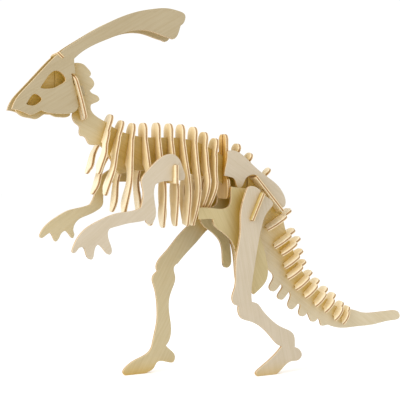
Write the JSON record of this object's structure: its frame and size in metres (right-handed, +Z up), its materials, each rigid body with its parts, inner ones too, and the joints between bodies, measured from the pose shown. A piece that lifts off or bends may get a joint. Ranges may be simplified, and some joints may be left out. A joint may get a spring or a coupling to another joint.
{
  "type": "wooden 3d jigsaw model",
  "caption": "Slot-together plywood skeleton of a crested duck-billed dinosaur, standing on two legs, with ribs, tail plates, arms and legs that lift out of their slots.",
  "frame": {"origin": "middle of the footprint of the bounding box, on the surface that the feet stand on", "axes": "+Z up, +X from the snout towards the tail tip, +Y towards the animal's right side"},
  "size_m": [0.3975, 0.066, 0.3285],
  "materials": {
    "plywood": "bare sanded face veneer, brown die-cut edges"
  },
  "bodies": {
    "torso": {"spine_plate": "plywood", "neck_collar": "plywood", "shoulder_bar": "plywood", "hip_front_plate": "plywood", "sacral_plate_1": "plywood", "sacral_plate_2": "plywood", "sacral_plate_3": "plywood", "ilium_left": "plywood", "ilium_right": "plywood", "pelvis_left": "plywood", "pelvis_right": "plywood", "hip_bar": "plywood", "tail_plate": "plywood", "sacral_deck": "plywood"},
    "head": {"skull_left": "plywood", "skull_right": "plywood", "brow_plate": "plywood", "snout_plate": "plywood", "jaw_plate": "plywood"},
    "rib_1": {"rib_1": "plywood"},
    "rib_2": {"rib_2": "plywood"},
    "rib_3": {"rib_3": "plywood"},
    "rib_4": {"rib_4": "plywood"},
    "rib_5": {"rib_5": "plywood"},
    "rib_6": {"rib_6": "plywood"},
    "rib_7": {"rib_7": "plywood"},
    "rib_8": {"rib_8": "plywood"},
    "rib_9": {"rib_9": "plywood"},
    "rib_10": {"rib_10": "plywood"},
    "tail_vertebra_1": {"tail_vertebra_1": "plywood"},
    "tail_vertebra_2": {"tail_vertebra_2": "plywood"},
    "tail_vertebra_3": {"tail_vertebra_3": "plywood"},
    "tail_vertebra_4": {"tail_vertebra_4": "plywood"},
    "tail_vertebra_5": {"tail_vertebra_5": "plywood"},
    "tail_vertebra_6": {"tail_vertebra_6": "plywood"},
    "tail_vertebra_7": {"tail_vertebra_7": "plywood"},
    "tail_vertebra_8": {"tail_vertebra_8": "plywood"},
    "tail_vertebra_9": {"tail_vertebra_9": "plywood"},
    "tail_vertebra_10": {"tail_vertebra_10": "plywood"},
    "tail_vertebra_11": {"tail_vertebra_11": "plywood"},
    "arm_left": {"arm_left": "plywood"},
    "leg_left": {"leg_left": "plywood"},
    "arm_right": {"arm_right": "plywood"},
    "leg_right": {"leg_right": "plywood"}
  },
  "joints": [
    {"name": "head_pull", "type": "slide", "parent": "torso", "child": "head", "axis": [-1, 0, 0], "range_m": [0, 0.02]},
    {"name": "rib_1_lift", "type": "slide", "parent": "torso", "child": "rib_1", "axis": [0.309, 0, 0.9511], "range_m": [0, 0.028]},
    {"name": "rib_2_lift", "type": "slide", "parent": "torso", "child": "rib_2", "axis": [0.3123, 0, 0.95], "range_m": [0, 0.028]},
    {"name": "rib_3_lift", "type": "slide", "parent": "torso", "child": "rib_3", "axis": [0.1736, 0, 0.9848], "range_m": [0, 0.028]},
    {"name": "rib_4_lift", "type": "slide", "parent": "torso", "child": "rib_4", "axis": [0, 0, 1], "range_m": [0, 0.028]},
    {"name": "rib_5_lift", "type": "slide", "parent": "torso", "child": "rib_5", "axis": [0, 0, 1], "range_m": [0, 0.028]},
    {"name": "rib_6_lift", "type": "slide", "parent": "torso", "child": "rib_6", "axis": [0, 0, 1], "range_m": [0, 0.028]},
    {"name": "rib_7_lift", "type": "slide", "parent": "torso", "child": "rib_7", "axis": [0, 0, 1], "range_m": [0, 0.028]},
    {"name": "rib_8_lift", "type": "slide", "parent": "torso", "child": "rib_8", "axis": [0.0523, 0, 0.9986], "range_m": [0, 0.028]},
    {"name": "rib_9_lift", "type": "slide", "parent": "torso", "child": "rib_9", "axis": [0.0872, 0, 0.9962], "range_m": [0, 0.028]},
    {"name": "rib_10_lift", "type": "slide", "parent": "torso", "child": "rib_10", "axis": [0.1736, 0, 0.9848], "range_m": [0, 0.028]},
    {"name": "tail_vertebra_1_lift", "type": "slide", "parent": "torso", "child": "tail_vertebra_1", "axis": [0.8572, 0, 0.515], "range_m": [0, 0.018]},
    {"name": "tail_vertebra_2_lift", "type": "slide", "parent": "torso", "child": "tail_vertebra_2", "axis": [0.848, 0, 0.5299], "range_m": [0, 0.018]},
    {"name": "tail_vertebra_3_lift", "type": "slide", "parent": "torso", "child": "tail_vertebra_3", "axis": [0.8387, 0, 0.5446], "range_m": [0, 0.018]},
    {"name": "tail_vertebra_4_lift", "type": "slide", "parent": "torso", "child": "tail_vertebra_4", "axis": [0.829, 0, 0.5592], "range_m": [0, 0.018]},
    {"name": "tail_vertebra_5_lift", "type": "slide", "parent": "torso", "child": "tail_vertebra_5", "axis": [0.829, 0, 0.5592], "range_m": [0, 0.018]},
    {"name": "tail_vertebra_6_lift", "type": "slide", "parent": "torso", "child": "tail_vertebra_6", "axis": [0.7986, 0, 0.6018], "range_m": [0, 0.018]},
    {"name": "tail_vertebra_7_lift", "type": "slide", "parent": "torso", "child": "tail_vertebra_7", "axis": [0.7547, 0, 0.6561], "range_m": [0, 0.018]},
    {"name": "tail_vertebra_8_lift", "type": "slide", "parent": "torso", "child": "tail_vertebra_8", "axis": [0.7071, 0, 0.7071], "range_m": [0, 0.018]},
    {"name": "tail_vertebra_9_lift", "type": "slide", "parent": "torso", "child": "tail_vertebra_9", "axis": [0.6561, 0, 0.7547], "range_m": [0, 0.018]},
    {"name": "tail_vertebra_10_lift", "type": "slide", "parent": "torso", "child": "tail_vertebra_10", "axis": [0.5878, 0, 0.809], "range_m": [0, 0.018]},
    {"name": "tail_vertebra_11_lift", "type": "slide", "parent": "torso", "child": "tail_vertebra_11", "axis": [0.5, 0, 0.866], "range_m": [0, 0.018]},
    {"name": "arm_left_lift", "type": "slide", "parent": "torso", "child": "arm_left", "axis": [0, 0, 1], "range_m": [0, 0.018]},
    {"name": "arm_right_lift", "type": "slide", "parent": "torso", "child": "arm_right", "axis": [0, 0, 1], "range_m": [0, 0.018]},
    {"name": "leg_left_drop", "type": "slide", "parent": "torso", "child": "leg_left", "axis": [-0.4194, 0, -0.9078], "range_m": [0, 0.02]},
    {"name": "leg_right_drop", "type": "slide", "parent": "torso", "child": "leg_right", "axis": [-0.4194, 0, -0.9078], "range_m": [0, 0.02]}
  ]
}
